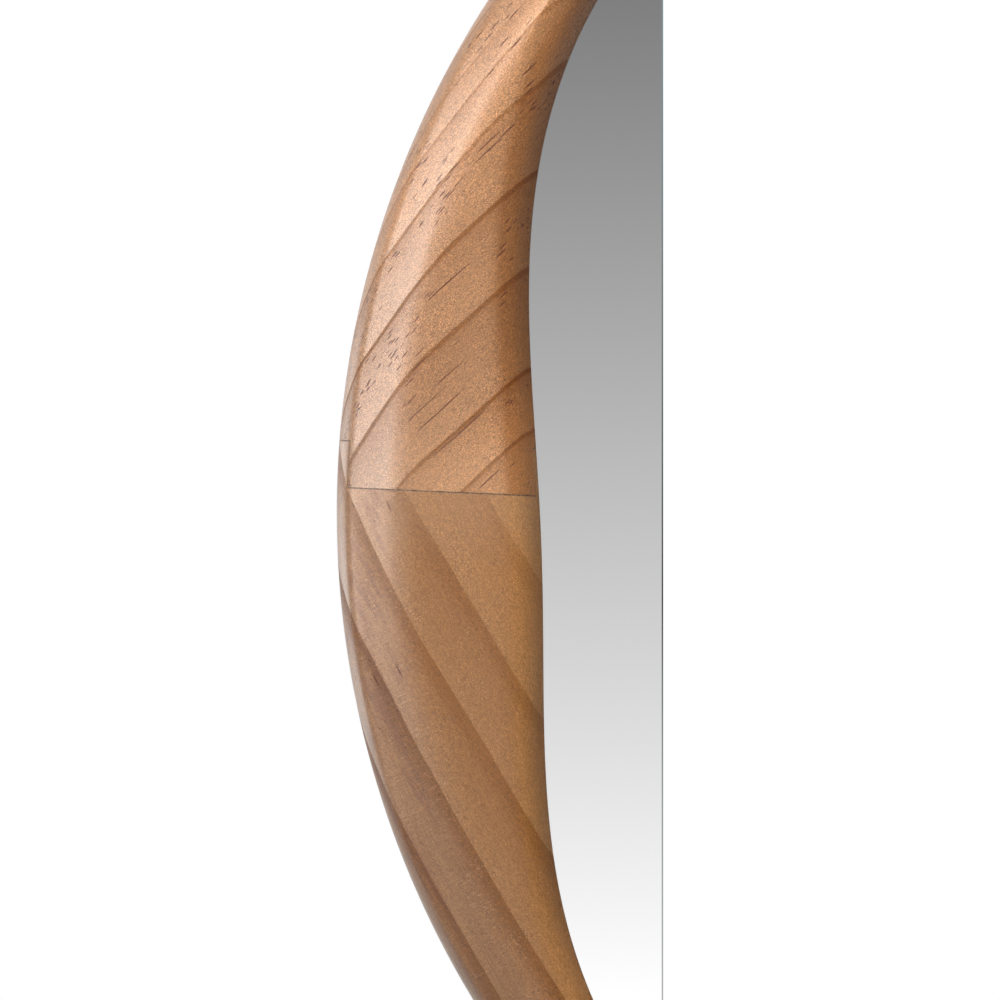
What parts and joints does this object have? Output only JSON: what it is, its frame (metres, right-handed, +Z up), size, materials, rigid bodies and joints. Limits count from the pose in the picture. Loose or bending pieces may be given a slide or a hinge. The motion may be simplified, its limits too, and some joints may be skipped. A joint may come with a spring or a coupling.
{
  "type": "hand mirror",
  "caption": "Round hand mirror with a stained wooden rim that swells and slims, finger joints, a wooden handle and a glass held by turn buttons.",
  "frame": {"origin": "middle of the grip, where the hand closes round the handle", "axes": "+X to the mirror's right as its user sees it, +Z up through the rim, glass facing -Y"},
  "size_m": [0.226, 0.0215, 0.348],
  "materials": {
    "stained_pine": "light walnut stain under satin lacquer",
    "beech": "bare",
    "silvered_glass": "polished",
    "foam": "closed-cell foam sheet",
    "plywood": "bare, sanded",
    "brass_plate": "satin plated",
    "screw_steel": "zinc plated",
    "rubber": "matte"
  },
  "bodies": {
    "mirror": {"rim_upper_left": "stained_pine", "rim_upper_right": "stained_pine", "rim_lower_left": "stained_pine", "rim_lower_right": "stained_pine", "handle": "stained_pine", "dowel_left": "beech", "dowel_right": "beech", "mirror_glass": "silvered_glass", "foam_pad": "foam", "back_board": "plywood", "screw_1": "screw_steel", "screw_2": "screw_steel", "screw_3": "screw_steel", "screw_4": "screw_steel", "screw_5": "screw_steel", "screw_6": "screw_steel", "bumper_1": "rubber", "bumper_2": "rubber", "bumper_3": "rubber", "bumper_4": "rubber"},
    "button_1": {"turn_button_1": "brass_plate"},
    "button_2": {"turn_button_2": "brass_plate"},
    "button_3": {"turn_button_3": "brass_plate"},
    "button_4": {"turn_button_4": "brass_plate"},
    "button_5": {"turn_button_5": "brass_plate"},
    "button_6": {"turn_button_6": "brass_plate"}
  },
  "joints": [
    {"name": "button_1_turn", "type": "hinge", "parent": "mirror", "child": "button_1", "pos_m": [0.04803, 0.008, 0.26827], "axis": [0, 1, 0], "continuous": true},
    {"name": "button_2_turn", "type": "hinge", "parent": "mirror", "child": "button_2", "pos_m": [0.09747, 0.008, 0.18944], "axis": [0, 1, 0], "continuous": true},
    {"name": "button_3_turn", "type": "hinge", "parent": "mirror", "child": "button_3", "pos_m": [0.04823, 0.008, 0.07934], "axis": [0, 1, 0], "continuous": true},
    {"name": "button_4_turn", "type": "hinge", "parent": "mirror", "child": "button_4", "pos_m": [-0.04823, 0.008, 0.07934], "axis": [0, 1, 0], "continuous": true},
    {"name": "button_5_turn", "type": "hinge", "parent": "mirror", "child": "button_5", "pos_m": [-0.09747, 0.008, 0.18944], "axis": [0, 1, 0], "continuous": true},
    {"name": "button_6_turn", "type": "hinge", "parent": "mirror", "child": "button_6", "pos_m": [-0.04803, 0.008, 0.26827], "axis": [0, 1, 0], "continuous": true}
  ]
}
